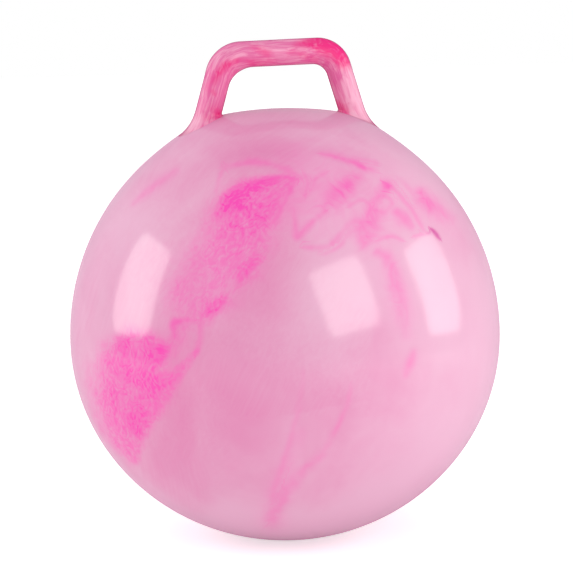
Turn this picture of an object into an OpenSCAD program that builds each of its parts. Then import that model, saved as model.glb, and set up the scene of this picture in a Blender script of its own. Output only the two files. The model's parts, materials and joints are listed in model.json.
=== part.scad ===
// Hopper ball: an inflated vinyl ball with a hollow loop handle on its crown and a plug valve in its back.
// Lengths are in millimetres and angles in degrees. The origin is the middle of the flat that the ball
// rests on, +Z runs up through the crown, the handle's bar lies along X and the valve is on the +Y side.

/* [Ball] */
// Diameter at the widest girth
ball_d = 450; // [400:1:500]
// Rise of the crown above the girth
crown_rise = 237; // [215:1:260]
// Depth of the round underside below the girth, before the floor flattens it
base_drop = 215; // [200:1:235]
// Diameter of the flat that the ball rests on
rest_d = 66; // [50:1:90]
// Thickness of the ball's skin
shell_t = 1.1; // [0.8:0.1:2]

/* [Handle] */
// Distance between the lines of the two legs, at the height of the bar
leg_span = 116; // [100:1:140]
// Lean of each leg from upright
leg_lean = 16.5; // [8:0.5:22]
// Outer diameter of the handle's tube
grip_d = 27; // [22:0.5:34]
// Wall thickness of the handle's tube
grip_t = 3; // [2:0.5:5]
// Clear height between the crown and the underside of the bar
hand_gap = 44; // [38:1:60]
// Bend radius of the tube's centre line at the two shoulders
shoulder_r = 24; // [22:1:38]
// Radius of the fillet that spreads the outer side of each leg onto the ball
foot_r = 24; // [14:1:32]

/* [Valve sleeve] */
// Lean of the valve's axis from upright
valve_lean = 60; // [50:1:85]
// Diameter of the bore that takes the plug or a pump nozzle
valve_bore_d = 9; // [7:0.5:11]
// Outer diameter of the sleeve
sleeve_d = 15; // [13:0.5:18]
// Length of the sleeve inside the ball, from the outer surface of the skin
sleeve_l = 24; // [22:1:32]
// Height of the sleeve's mouth above the skin
mouth_rise = 0.5; // [0.3:0.1:1.5]
// Diameter of the collar that bonds the sleeve to the inside of the skin
collar_d = 34; // [26:1:44]
// Thickness of the collar on the sleeve's axis
collar_t = 2.2; // [1.8:0.1:3.5]

/* [Valve plug] */
// Diameter of the plug's head
head_d = 18; // [16:0.5:22]
// Thickness of the plug's head
head_t = 2.6; // [2:0.1:4]
// Depth of the thumb dimple in the head
dimple_depth = 1; // [0.6:0.1:1.4]
// Diameter of the thumb dimple in the head
dimple_d = 11; // [8:0.5:12]
// Length of the stem under the head, with its tapered tip
stem_l = 20; // [18:1:24]
// Length of the tapered tip
tip_l = 4; // [2:0.5:6]
// Diameter of the tip's end
tip_d = 5; // [4:0.5:6]
// Number of sealing ribs round the stem
rib_count = 3; // [2:1:4]
// Depth of each rib
rib_depth = 0.6; // [0.3:0.1:0.9]
// Length of each rib along the stem
rib_l = 2; // [1:0.5:3]
// Distance from one rib to the next
rib_pitch = 4; // [3.5:0.5:4.5]

/* [Fits] */
// Radial clearance between the plug's ribs and the bore
plug_fit = 0.05; // [0.02:0.01:0.1]
// Clearance between the plug's head and the sleeve's mouth
head_fit = 0.1; // [0.05:0.05:0.3]

/* [Hidden] */
$fn = 128;
// Facets round the ball itself, which is so large that it needs more of them
ball_facets = 256;

// How far a cutting shape runs past what it cuts
overrun = 2;
// Depth to which the foot fillet sinks into the leg and the skin, so that the surfaces cross cleanly
foot_bite = 0.25;
// How far the legs and the bar run into the bends
seam_lap = 0.5;
// How much fuller in radius the bends are than the legs and the bar, so that those ends stay inside them
seam_step = 0.05;

// The ball's section: on each side of the girth a polar arc and a girth arc meet at this lean of the normal
blend_lean = 45;
girth_r = ball_d / 2;
// Length beyond every point of the section
reach = ball_d + crown_rise + base_drop;

// Distance between the centres of the polar arc and the girth arc, for a half of this height
function arc_step(height) = (height - girth_r) / (sin(blend_lean) + cos(blend_lean) - 1);
// Height of the polar arc's centre beyond the girth
function polar_offset(height) = arc_step(height) * cos(blend_lean);
// Distance of the girth arc's centre beyond the axis
function girth_offset(height) = arc_step(height) * sin(blend_lean);
function polar_r(height) = height - polar_offset(height);
function girth_arc_r(height) = girth_r + girth_offset(height);

girth_z = polar_offset(base_drop) + sqrt(pow(polar_r(base_drop), 2) - pow(rest_d / 2, 2));
crown_z = girth_z + crown_rise;
crown_r = polar_r(crown_rise);
crown_centre_z = girth_z + polar_offset(crown_rise);

// The handle's centre line, in the XZ plane
grip_r = grip_d / 2;
bore_r = grip_r - grip_t;
bar_z = crown_z + hand_gap + grip_r;
shoulder_turn = 90 - leg_lean;
shoulder_run = shoulder_r * tan(shoulder_turn / 2);
bar_l = leg_span - 2 * shoulder_run;

// Where a leg's line, run down from the height of the bar, meets the crown's arc
leg_down = [sin(leg_lean), -cos(leg_lean)];
leg_out = [cos(leg_lean), sin(leg_lean)];
leg_top = [leg_span / 2, bar_z];
crown_to_top = leg_top - [0, crown_centre_z];
top_along = crown_to_top * leg_down;
top_to_foot = -top_along - sqrt(pow(top_along, 2) - crown_to_top * crown_to_top + pow(crown_r, 2));
foot = leg_top + top_to_foot * leg_down;
leg_l = top_to_foot - shoulder_run;

// The foot fillet in a leg's own frame: how far out from the leg's line, and how far up it from the foot
crown_out = ([0, crown_centre_z] - foot) * leg_out;
crown_up = -([0, crown_centre_z] - foot) * leg_down;
bitten_r = crown_r - foot_bite;
fillet_out = grip_r + foot_r - foot_bite;
fillet_up = crown_up + sqrt(pow(bitten_r + foot_r, 2) - pow(fillet_out - crown_out, 2));
fillet_share = bitten_r / (bitten_r + foot_r);
foot_edge_out = crown_out + fillet_share * (fillet_out - crown_out);
foot_edge_up = crown_up + fillet_share * (fillet_up - crown_up);

// The valve's place on the skin
valve_y = girth_arc_r(crown_rise) * sin(valve_lean) - girth_offset(crown_rise);
valve_z = girth_z + girth_arc_r(crown_rise) * cos(valve_lean);

// The plug's parts along its own axis, from the skin outwards
head_z = mouth_rise + head_fit;
rib_r = valve_bore_d / 2 - plug_fit;
stem_r = rib_r - rib_depth;
// Radius of the ball-shaped cut that leaves the thumb dimple
dimple_r = (pow(dimple_d / 2, 2) + pow(dimple_depth, 2)) / (2 * dimple_depth);

// The part of the upper quarter plane that lies above the line through the two arcs' centres
module polar_side(height) {
    translate([-girth_offset(height), 0])
        rotate(90 - blend_lean)
            translate([-reach, 0])
                square([2 * reach, reach]);
}

// One half of the ball's section, above the girth, at a depth under the skin's outer surface
module half_section(height, depth) {
    intersection() {
        square(reach);
        union() {
            intersection() {
                translate([0, polar_offset(height)])
                    circle(polar_r(height) - depth);
                polar_side(height);
            }
            difference() {
                translate([-girth_offset(height), 0])
                    circle(girth_arc_r(height) - depth);
                polar_side(height);
            }
        }
    }
}

// Everything of the ball that lies deeper than a depth under its outer surface
module ball_core(depth) {
    $fn = ball_facets;
    rotate_extrude()
        intersection() {
            translate([0, girth_z]) {
                half_section(crown_rise, depth);
                mirror([0, 1])
                    half_section(base_drop, depth);
            }
            translate([0, depth])
                square(reach);
        }
}

module on_both_sides() {
    children();
    mirror([1, 0, 0])
        children();
}

// A shoulder's own frame: its origin is the centre of the bend and its Z axis points up along the leg
module at_shoulder() {
    translate([bar_l / 2, 0, bar_z - shoulder_r])
        rotate([0, -leg_lean, 0])
            children();
}

// A foot's own frame: its origin is where the leg's line meets the crown and its Z axis runs up the leg
module at_foot() {
    at_shoulder()
        translate([shoulder_r, 0, -leg_l])
            children();
}

// The handle's bent rod at a radius, with legs that run on for a distance below the feet
module handle_rod(radius, below) {
    translate([0, 0, bar_z])
        rotate([0, 90, 0])
            cylinder(h = bar_l + 2 * seam_lap, r = radius, center = true);
    on_both_sides() {
        at_shoulder()
            rotate([90, 0, 0])
                rotate_extrude(angle = shoulder_turn)
                    translate([shoulder_r, 0])
                        circle(radius + seam_step);
        at_foot()
            translate([0, 0, -below])
                cylinder(h = leg_l + below + seam_lap, r = radius);
    }
}

// The trumpet that spreads the outer side of a leg onto the ball
module foot_flare() {
    rotate_extrude()
        difference() {
            translate([0, foot_edge_up])
                square([foot_edge_out, fillet_up - foot_edge_up]);
            translate([fillet_out, fillet_up])
                circle(foot_r);
        }
}

// The air way through the handle, which opens into the ball at both feet
module handle_bore() {
    handle_rod(bore_r, overrun - foot_edge_up);
}

// The valve's own frame: its origin is on the skin's outer surface and its Z axis points out of the ball
module at_valve() {
    translate([0, valve_y, valve_z])
        rotate([-valve_lean, 0, 0])
            children();
}

module ball_shell() {
    color("#EBA5CB")
        difference() {
            ball_core(0);
            ball_core(shell_t);
            handle_bore();
            at_valve()
                translate([0, 0, -sleeve_l])
                    cylinder(h = sleeve_l + overrun, d = sleeve_d);
        }
}

module handle() {
    color("#F273B4")
        difference() {
            union() {
                handle_rod(grip_r, -foot_edge_up);
                on_both_sides()
                    at_foot()
                        foot_flare();
            }
            handle_bore();
            ball_core(0);
        }
}

module valve_sleeve() {
    color("#E58FBF")
        difference() {
            union() {
                at_valve()
                    translate([0, 0, -sleeve_l])
                        cylinder(h = sleeve_l + mouth_rise, d = sleeve_d);
                intersection() {
                    ball_core(shell_t);
                    at_valve()
                        translate([0, 0, -shell_t - collar_t])
                            cylinder(h = shell_t + collar_t, d = collar_d);
                }
            }
            at_valve()
                translate([0, 0, -sleeve_l - overrun])
                    cylinder(h = sleeve_l + mouth_rise + 2 * overrun, d = valve_bore_d);
        }
}

// The head's outline: a disc with a full round rim
module head_outline() {
    square([(head_d - head_t) / 2, head_t]);
    translate([(head_d - head_t) / 2, head_t / 2])
        circle(d = head_t);
}

module plug_head() {
    difference() {
        rotate_extrude()
            intersection() {
                head_outline();
                square([head_d, head_t]);
            }
        translate([0, 0, head_t - dimple_depth + dimple_r])
            sphere(dimple_r);
    }
}

module plug_stem() {
    translate([0, 0, tip_l - stem_l])
        cylinder(h = stem_l - tip_l, r = stem_r);
    translate([0, 0, -stem_l])
        cylinder(h = tip_l, d1 = tip_d, r2 = stem_r);
    for (i = [0 : rib_count - 1])
        translate([0, 0, -(i + 1) * rib_pitch])
            cylinder(h = rib_l, r1 = stem_r, r2 = rib_r);
}

module valve_plug() {
    color("#F4F1F2")
        at_valve()
            translate([0, 0, head_z]) {
                plug_head();
                plug_stem();
            }
}

ball_shell();
handle();
valve_sleeve();
valve_plug();
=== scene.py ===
import json
import math

import bmesh
import bpy
import numpy as np
from mathutils import Matrix, Vector


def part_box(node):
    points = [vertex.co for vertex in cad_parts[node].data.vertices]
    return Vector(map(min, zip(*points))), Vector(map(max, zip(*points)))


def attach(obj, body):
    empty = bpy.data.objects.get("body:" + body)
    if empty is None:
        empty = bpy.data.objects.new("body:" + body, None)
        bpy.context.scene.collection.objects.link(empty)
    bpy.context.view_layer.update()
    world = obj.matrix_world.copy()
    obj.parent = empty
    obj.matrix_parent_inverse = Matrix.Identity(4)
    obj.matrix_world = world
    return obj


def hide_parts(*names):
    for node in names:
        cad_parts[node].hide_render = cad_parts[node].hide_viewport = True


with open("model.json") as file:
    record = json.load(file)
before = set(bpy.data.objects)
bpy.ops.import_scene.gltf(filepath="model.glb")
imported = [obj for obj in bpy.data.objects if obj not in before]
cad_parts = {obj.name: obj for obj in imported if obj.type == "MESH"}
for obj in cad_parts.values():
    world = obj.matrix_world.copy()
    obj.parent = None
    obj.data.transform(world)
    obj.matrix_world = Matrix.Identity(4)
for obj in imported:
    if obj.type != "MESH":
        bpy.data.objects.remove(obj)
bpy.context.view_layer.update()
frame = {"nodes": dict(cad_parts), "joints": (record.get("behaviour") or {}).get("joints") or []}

print("frame loaded:", sorted(frame["nodes"]))


# Small helpers for node trees, shared by the shapes and the materials

def addNode(tree, kind, **settings):
    node = tree.nodes.new(kind)
    for label, value in settings.items():
        setattr(node, label, value)
    return node


def feed(tree, socket, value):
    if isinstance(value, bpy.types.NodeSocket):
        tree.links.new(value, socket)
    else:
        socket.default_value = value


def sums(tree, operation, *values):
    node = addNode(tree, "ShaderNodeMath", operation=operation)
    for socket, value in zip(node.inputs, values):
        feed(tree, socket, value)
    return node.outputs[0]


def vectorSums(tree, operation, *values):
    node = addNode(tree, "ShaderNodeVectorMath", operation=operation)
    for socket, value in zip(node.inputs, values):
        feed(tree, socket, value)
    return node.outputs["Vector"]


def scaled(tree, vector, factor):
    node = addNode(tree, "ShaderNodeVectorMath", operation="SCALE")
    feed(tree, node.inputs[0], vector)
    feed(tree, node.inputs["Scale"], factor)
    return node.outputs["Vector"]


def newTree(name, kind, inputs, outputs):
    tree = bpy.data.node_groups.new(name, kind)
    for label, socketType in inputs:
        tree.interface.new_socket(label, in_out="INPUT", socket_type=socketType)
    for label, socketType in outputs:
        tree.interface.new_socket(label, in_out="OUTPUT", socket_type=socketType)
    return tree, addNode(tree, "NodeGroupInput").outputs, addNode(tree, "NodeGroupOutput").inputs


def newPiece(name, mesh):
    piece = bpy.data.objects.new(name, mesh)
    bpy.context.scene.collection.objects.link(piece)
    return piece


def growNodes(piece, tree, **values):
    modifier = piece.modifiers.new(tree.name, "NODES")
    modifier.node_group = tree
    for item in tree.interface.items_tree:
        if item.in_out == "INPUT" and item.name.replace(" ", "") in values:
            modifier[item.identifier] = values[item.name.replace(" ", "")]


def plainMesh(piece):  # what the modifiers make becomes the piece's own mesh
    depsgraph = bpy.context.evaluated_depsgraph_get()
    made = bpy.data.meshes.new_from_object(piece.evaluated_get(depsgraph), depsgraph=depsgraph)
    piece.modifiers.clear()
    piece.data = made


def smoothStep(low, high, values):
    share = np.clip((values - low) / (high - low), 0, 1)
    return share * share * (3 - 2 * share)


# Camera, set from what the photograph shows of the ball

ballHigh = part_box("ball_shell")[1]
girthRadius = ballHigh.x
view = {
    "distance": 2.2,  # from the middle of the ball
    "bearing": 12,  # degrees round towards the left leg
    "elevation": 9,
    "roll": 1.2,
    "pictureSize": 573,
    "girthPixels": 429.7,  # width of the ball in the photograph
    "ballPixel": (284.0, 334.0),  # middle of the girth in the photograph
    "sensor": 36,
}
ball = {
    "crownRise": 0.237,  # crown above the girth
    "baseDrop": 0.215,  # round underside below the girth
    "gridLines": 126,  # quads along each edge of the cube that is blown up to the ball
    "moundHeight": 0.005,  # how far the skin swells up round each foot of the handle
    "moundSpread": 0.040,
    "baseTone": 0.3,  # how rosy the skin is where no stroke changes it
}
ball["girthHeight"] = ballHigh.z - ball["crownRise"]
ballMiddle = Vector((0, 0, ball["girthHeight"]))


def makeCamera():
    focal = view["girthPixels"] / 2 / math.tan(math.asin(girthRadius / view["distance"]))
    bearing, elevation = math.radians(view["bearing"]), math.radians(view["elevation"])
    toward = Vector((-math.sin(bearing), -math.cos(bearing), math.tan(elevation))).normalized()
    right = Vector((0, 0, 1)).cross(toward).normalized()
    up = toward.cross(right)
    half = view["pictureSize"] / 2
    perPixel = view["distance"] / focal
    aim = ballMiddle + right * (half - view["ballPixel"][0]) * perPixel
    aim += up * (view["ballPixel"][1] - half) * perPixel
    place = ballMiddle + toward * view["distance"]
    roll = Matrix.Rotation(-math.radians(view["roll"]), 4, "Z").to_quaternion()
    turn = (aim - place).to_track_quat("-Z", "Y") @ roll
    camera = bpy.data.objects.new("photoCamera", bpy.data.cameras.new("photoCamera"))
    camera.data.sensor_width = view["sensor"]
    camera.data.lens = focal / view["pictureSize"] * view["sensor"]
    camera.matrix_world = Matrix.LocRotScale(place, turn, None)
    bpy.context.scene.collection.objects.link(camera)
    bpy.context.scene.camera = camera
    return focal, place, np.array(turn.to_matrix()), (right, up, toward)


focal, eye, eyeAxes, eyeSides = makeCamera()
print("camera set, lens", round(bpy.context.scene.camera.data.lens, 1))


def pixelsOf(points, normals, halfTurn=False):
    # where points land in the photograph, or in a picture taken from behind, and how far they face it
    spin = np.diag([-1.0, -1.0, 1.0]) if halfTurn else np.eye(3)
    away = points @ spin - np.array(eye)
    seen = away @ eyeAxes
    half = view["pictureSize"] / 2
    pixels = half + focal * seen[:, :2] / seen[:, 2:] * (-1, 1)
    facing = -np.einsum("ij,ij->i", normals @ spin, away) / np.linalg.norm(away, axis=1)
    return pixels, facing


# Strokes of pigment, and of painted light where a comment says so: each point is x, y, half width,
# strength, in pixels of the picture

def smoothRoute(stroke, steps=12):
    knots = np.array([stroke[0], *stroke, stroke[-1]], float)
    share = np.linspace(0, 1, steps, endpoint=False)[:, None]
    spans = []
    for a, b, c, d in zip(knots, knots[1:], knots[2:], knots[3:]):
        spans.append(0.5 * (2 * b + (c - a) * share + (2 * a - 5 * b + 4 * c - d) * share**2
                            + (3 * b - a - 3 * c + d) * share**3))
    return np.concatenate([*spans, knots[-1:]])


def paintStrokes(pixels, strokes, power):
    # all strokes together as one mask, and the way along and across the strongest, in half widths
    mask, strongest, along, across = (np.zeros(len(pixels)) for _ in range(4))
    for number, stroke in enumerate(strokes):
        route = smoothRoute(stroke)
        reach = route[:, 2].max() * 2.5
        low, high = route[:, :2].min(0) - reach, route[:, :2].max(0) + reach
        near = np.flatnonzero(np.all((pixels > low) & (pixels < high), axis=1))
        if not len(near):
            continue
        gap = pixels[near, None, :] - route[None, :, :2]
        distance = np.linalg.norm(gap, axis=2)
        nearest = distance.argmin(1)
        heading = np.gradient(route[:, :2], axis=0)[nearest]
        heading /= np.linalg.norm(heading, axis=1, keepdims=True) + 1e-9
        offset = gap[np.arange(len(near)), nearest]
        side = heading[:, 0] * offset[:, 1] - heading[:, 1] * offset[:, 0]
        run = np.concatenate([[0], np.cumsum(np.linalg.norm(np.diff(route[:, :2], axis=0), axis=1))])
        widths = distance.min(1) / route[nearest, 2]
        strength = route[nearest, 3] * np.exp2(-(widths**power))
        mask[near] = 1 - (1 - mask[near]) * (1 - strength)
        better = strength > strongest[near]
        strongest[near[better]] = strength[better]
        along[near[better]] = run[nearest][better] + 97 * number
        across[near[better]] = side[better]
    return mask, along, across


def paintLines(pixels, lines):
    # thin lines, kept as the distance from the nearest one in half widths, so that they stay sharp
    strength, across = np.zeros(len(pixels)), np.zeros(len(pixels))
    best = np.full(len(pixels), 1e9)
    for line in lines:
        route = smoothRoute(line)
        gap = pixels[:, None, :] - route[None, :, :2]
        distance = np.linalg.norm(gap, axis=2) / route[None, :, 2]
        nearest = distance.argmin(1)
        heading = np.gradient(route[:, :2], axis=0)[nearest]
        offset = gap[np.arange(len(pixels)), nearest]
        side = np.sign(heading[:, 0] * offset[:, 1] - heading[:, 1] * offset[:, 0])
        closer = distance.min(1) < best
        best[closer] = distance.min(1)[closer]
        across[closer] = (side * distance.min(1))[closer]
        strength[closer] = route[nearest, 3][closer]
    return np.clip(across, -4, 4), strength * (1 - smoothStep(2, 3.5, best))


def writeField(mesh, name, *columns):
    field = mesh.attributes.new(name, "FLOAT_VECTOR", "POINT")
    field.data.foreach_set("vector", np.stack(columns, axis=1).astype(np.float32).ravel())


def meshArrays(mesh):
    points, normals = (np.empty(len(mesh.vertices) * 3, np.float32) for _ in range(2))
    mesh.vertices.foreach_get("co", points)
    mesh.vertex_normals.foreach_get("vector", normals)
    return points.reshape(-1, 3).astype(float), normals.reshape(-1, 3).astype(float)


# Pigment and finish, as shader groups that the vinyl and the valve share

def colour(red, green, blue):  # screen values 0 to 255, made linear
    shares = [value / 255 for value in (red, green, blue)]
    return [s / 12.92 if s <= 0.04045 else ((s + 0.055) / 1.055) ** 2.4 for s in shares] + [1]


def noise(tree, vector, scale, detail=2, distortion=0, roughness=0.5):
    node = addNode(tree, "ShaderNodeTexNoise")
    feed(tree, node.inputs["Vector"], vector)
    settings = {"Scale": scale, "Detail": detail, "Distortion": distortion, "Roughness": roughness}
    for label, value in settings.items():
        feed(tree, node.inputs[label], value)
    return node


def ramp(tree, value, low, high, start=0, end=1):
    node = addNode(tree, "ShaderNodeMapRange", interpolation_type="SMOOTHSTEP")
    for socket, given in zip(node.inputs, (value, low, high, start, end)):
        feed(tree, socket, given)
    return node.outputs["Result"]


def mixColour(tree, share, first, second):
    node = addNode(tree, "ShaderNodeMix", data_type="RGBA")
    for place, given in ((0, share), (6, first), (7, second)):
        feed(tree, node.inputs[place], given)
    return node.outputs[2]


def ridges(tree, value, sharpness):  # bright lines where a noise crosses its middle
    fold = sums(tree, "ABSOLUTE", sums(tree, "MULTIPLY_ADD", value, 2, -1))
    return sums(tree, "POWER", sums(tree, "SUBTRACT", 1, fold), sharpness)


def centred(tree, value, amount):  # a noise's swing round zero
    return sums(tree, "MULTIPLY", sums(tree, "SUBTRACT", value, 0.5), amount)


def makeMarbling():
    tree, given, result = newTree("marbledPigment", "ShaderNodeTree", [
        ("Point", "NodeSocketVector"), ("Masks", "NodeSocketVector"), ("Flow", "NodeSocketVector"),
        ("Lines", "NodeSocketVector"), ("Stretch", "NodeSocketVector"), ("Wander", "NodeSocketFloat"),
        ("Streaks", "NodeSocketFloat"), ("Threads", "NodeSocketFloat"), ("Pale", "NodeSocketColor"),
        ("Rose", "NodeSocketColor"), ("Hot", "NodeSocketColor"), ("Ink", "NodeSocketColor")],
        [("Color", "NodeSocketColor"), ("Pigment", "NodeSocketFloat")])
    masks = addNode(tree, "ShaderNodeSeparateXYZ")
    feed(tree, masks.inputs[0], given["Masks"])
    stain, wisp, tone = masks.outputs
    point = given["Point"]
    swirl = vectorSums(tree, "SUBTRACT", noise(tree, point, 26, 2).outputs["Color"], (0.5, 0.5, 0.5))
    drift = vectorSums(tree, "ADD", point, scaled(tree, swirl, 0.022))
    flow = vectorSums(tree, "MULTIPLY", given["Flow"], given["Stretch"])
    flow = vectorSums(tree, "ADD", flow, scaled(tree, swirl, given["Wander"]))
    grain = noise(tree, flow, 1, 4, 0.3, 0.58).outputs["Fac"]
    # slow clouds and streaks of base tone
    cloud = noise(tree, vectorSums(tree, "MULTIPLY", point, (1, 1, 0.45)), 11, 3, 0.6).outputs["Fac"]
    deep = sums(tree, "ADD", tone, centred(tree, cloud, 0.7))
    deep = sums(tree, "ADD", deep, sums(tree, "MULTIPLY", centred(tree, grain, 2), given["Streaks"]))
    base = mixColour(tree, ramp(tree, deep, 0, 1), given["Pale"], given["Rose"])
    # inside a stain: fibres along its flow, and curls like contour lines
    fibres = ramp(tree, grain, 0.34, 0.66)
    contours = noise(tree, drift, 40, 2).outputs["Fac"]
    curls = sums(tree, "MULTIPLY_ADD", sums(tree, "SINE", sums(tree, "MULTIPLY", contours, 56)), 0.5, 0.5)
    mottle = noise(tree, drift, 210, 2).outputs["Fac"]
    threads = sums(tree, "ADD", centred(tree, fibres, 0.45), centred(tree, curls, 0.4))
    threads = sums(tree, "ADD", threads, centred(tree, mottle, 0.9))
    threads = sums(tree, "MULTIPLY", threads, given["Threads"])
    ragged = centred(tree, noise(tree, drift, 48, 4).outputs["Fac"], 0.5)
    edge = ramp(tree, stain, 0, 0.3)
    hot = ramp(tree, sums(tree, "MULTIPLY_ADD", ragged, edge, stain), 0, 1.05)
    hot = sums(tree, "MULTIPLY", hot, sums(tree, "ADD", threads, 1))
    hot = sums(tree, "MINIMUM", sums(tree, "MAXIMUM", hot, 0), 1)
    # soft wisps with veins
    veins = ridges(tree, noise(tree, drift, 32, 3, 1.4).outputs["Fac"], 3)
    wisps = sums(tree, "MULTIPLY", wisp, sums(tree, "MULTIPLY_ADD", veins, 0.5, 0.66))
    wisps = sums(tree, "ADD", wisps, sums(tree, "MULTIPLY", ragged, sums(tree, "MULTIPLY", wisp, 0.9)))
    wisps = sums(tree, "MINIMUM", sums(tree, "MAXIMUM", wisps, 0), 1)
    # thin lines, wavy and broken
    line = addNode(tree, "ShaderNodeSeparateXYZ")
    feed(tree, line.inputs[0], given["Lines"])
    off = sums(tree, "ADD", line.outputs[0], centred(tree, noise(tree, point, 60, 3).outputs["Fac"], 2.2))
    lines = sums(tree, "POWER", 0.62, sums(tree, "MULTIPLY", off, off))
    breaks = ramp(tree, noise(tree, point, 45, 2).outputs["Fac"], 0.3, 0.6, 0.45, 1)
    lines = sums(tree, "MULTIPLY", sums(tree, "MULTIPLY", lines, line.outputs[1]), breaks)
    bare = sums(tree, "MULTIPLY", sums(tree, "SUBTRACT", 1, wisps), sums(tree, "SUBTRACT", 1, lines))
    bare = sums(tree, "MULTIPLY", bare, sums(tree, "SUBTRACT", 1, hot))
    pigment = sums(tree, "SUBTRACT", 1, bare)
    dyed = mixColour(tree, pigment, base, given["Hot"])
    dark = sums(tree, "MULTIPLY", lines, line.outputs[2])
    feed(tree, result["Color"], mixColour(tree, dark, dyed, given["Ink"]))
    feed(tree, result["Pigment"], pigment)
    return tree


def makeMouldedSkin():  # faint orange peel and haze of soft moulded vinyl
    tree, given, result = newTree("mouldedSkin", "ShaderNodeTree", [
        ("Point", "NodeSocketVector"), ("Haze", "NodeSocketFloat"), ("Spread", "NodeSocketFloat")],
        [("Roughness", "NodeSocketFloat"), ("Height", "NodeSocketFloat")])
    smear = noise(tree, given["Point"], 14, 4, 0.5).outputs["Fac"]
    shift = sums(tree, "MULTIPLY", sums(tree, "SUBTRACT", smear, 0.5), given["Spread"])
    feed(tree, result["Roughness"], sums(tree, "ADD", given["Haze"], shift))
    swell = noise(tree, given["Point"], 11, 1).outputs["Fac"]
    peel = noise(tree, given["Point"], 260, 2).outputs["Fac"]
    feed(tree, result["Height"], sums(tree, "MULTIPLY_ADD", peel, 0.02, swell))
    return tree


marbling = makeMarbling()
mouldedSkin = makeMouldedSkin()


def newMaterial(name):
    material = bpy.data.materials.new(name)
    material.use_nodes = True
    tree = material.node_tree
    return material, tree, tree.nodes["Principled BSDF"]


def placeGroup(tree, group, **values):
    node = addNode(tree, "ShaderNodeGroup", node_tree=group)
    for label, value in values.items():
        feed(tree, node.inputs[label], value)
    return node.outputs


def finishSkin(tree, shader, point, haze, spread, bumpDepth):
    skin = placeGroup(tree, mouldedSkin, Point=point, Haze=haze, Spread=spread)
    bump = addNode(tree, "ShaderNodeBump")
    bump.inputs["Strength"].default_value = 1
    bump.inputs["Distance"].default_value = bumpDepth
    feed(tree, bump.inputs["Height"], skin["Height"])
    feed(tree, shader.inputs["Normal"], bump.outputs["Normal"])
    feed(tree, shader.inputs["Roughness"], skin["Roughness"])


def vinylMaterial(name, finish):
    material, tree, shader = newMaterial(name)
    point = addNode(tree, "ShaderNodeTexCoord").outputs["Object"]
    fields = {}
    for label in ("Masks", "Flow", "Lines"):
        field = addNode(tree, "ShaderNodeAttribute", attribute_name="pigment" + label)
        fields[label] = field.outputs["Vector"]
    grain = {label: finish[label.lower()] for label in ("Stretch", "Wander", "Streaks", "Threads")}
    colours = {label: colour(*finish[label.lower()]) for label in ("Pale", "Rose", "Hot", "Ink")}
    marble = placeGroup(tree, marbling, Point=point, **fields, **grain, **colours)
    finishSkin(tree, shader, point, finish["haze"], finish["hazeSpread"], finish["bumpDepth"])
    shader.inputs["IOR"].default_value = finish["ior"]
    facing = addNode(tree, "ShaderNodeLayerWeight")
    facing.inputs["Blend"].default_value = 0.5
    edge = facing.outputs["Facing"]  # soft vinyl is hazy at a grazing look, so less mirror; the deeper colour there is painted shade towards the silhouette
    fade = addNode(tree, "ShaderNodeMapRange")
    for socket, given in zip(fade.inputs, (edge, 0.3, 1, 1, 0)):
        feed(tree, socket, given)
    gloss = sums(tree, "POWER", fade.outputs["Result"], finish["edgeFade"])
    feed(tree, shader.inputs["Specular IOR Level"], sums(tree, "MULTIPLY", gloss, 0.5))
    # painted shade: towards the silhouette the base colour is darkened to the finish's edge colour
    rim = ramp(tree, edge, finish["edgeStart"], 1, 0, finish["edgeDepth"])
    rim = mixColour(tree, rim, marble["Color"], colour(*finish["edge"]))
    feed(tree, shader.inputs["Base Color"], rim)
    return material


# The ball: a cube blown up to an egg, with a flat to rest on and a soft swell round each foot

ball["finish"] = {
    "pale": (239, 183, 213),
    "rose": (231, 118, 178),
    "hot": (255, 54, 184),
    "ink": (188, 40, 140),
    # edge is the colour of the painted shade towards the silhouette; edgeStart and edgeDepth say where it
    # starts and how deep it goes
    "edge": (206, 150, 184),
    "edgeStart": 0.55,
    "edgeDepth": 0.5,
    "edgeFade": 3,
    "stretch": (130, 290, 290),  # grain of the pigment's fibres, along and across
    "wander": 1.6,  # how far the fibres curl off their flow
    "streaks": 0.1,
    "threads": 0.62,
    "haze": 0.12,
    "hazeSpread": 0.05,
    "bumpDepth": 0.0008,
    "ior": 1.6,
}
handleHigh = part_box("handle")[1]
handle = {
    "legSpan": 0.116,  # between the lines of the legs, at the height of the bar
    "legLean": 16.5,
    "shoulderRadius": 0.024,
    "gripRadius": 0.0135,
    "filletOutside": 0.017,  # fillet at the foot, on the loop's outer and inner side
    "filletInside": 0.003,
    "drift": -0.0008,  # how far the soft bar has set to one side
    "tilt": 0.024,  # rise of the bar, as a share of its run
    "innerRadius": {-1: 0.028, 1: 0.016},  # inner curve at the left and the right shoulder
    "around": 72,
    "legRings": 26,
    "bendRings": 22,
    "barRings": 30,
    "filletRings": 12,
    "baseTone": 0.74,  # how rosy the tube is, and how much of that a pale stroke takes
    "paleDepth": 0.72,
    "baseStain": 0.08,  # hot pigment all over
}
handle["barHeight"] = handleHigh.z - handle["gripRadius"]
legDown = Vector((math.sin(math.radians(handle["legLean"])), 0, -math.cos(math.radians(handle["legLean"]))))
legOut = Vector((-legDown.z, 0, legDown.x))


def eggHeight(x, y):  # the crown's surface without the swell
    share = max(1 - (x * x + y * y) / girthRadius**2, 0)
    return ball["girthHeight"] + ball["crownRise"] * math.sqrt(share)


def findFootReach():  # where a leg's line comes down on the crown
    low, high = handle["legSpan"] / 2, girthRadius / 2
    for _ in range(40):
        middle = (low + high) / 2
        lineHeight = handle["barHeight"] + (middle - handle["legSpan"] / 2) * legDown.z / legDown.x
        low, high = (middle, high) if lineHeight > eggHeight(middle, 0) else (low, middle)
    return low


footReach = findFootReach()


def skinHeight(x, y):
    gap = (abs(x) - footReach) ** 2 + y * y
    return eggHeight(x, y) + ball["moundHeight"] * math.exp(-gap / ball["moundSpread"] ** 2)


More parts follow.
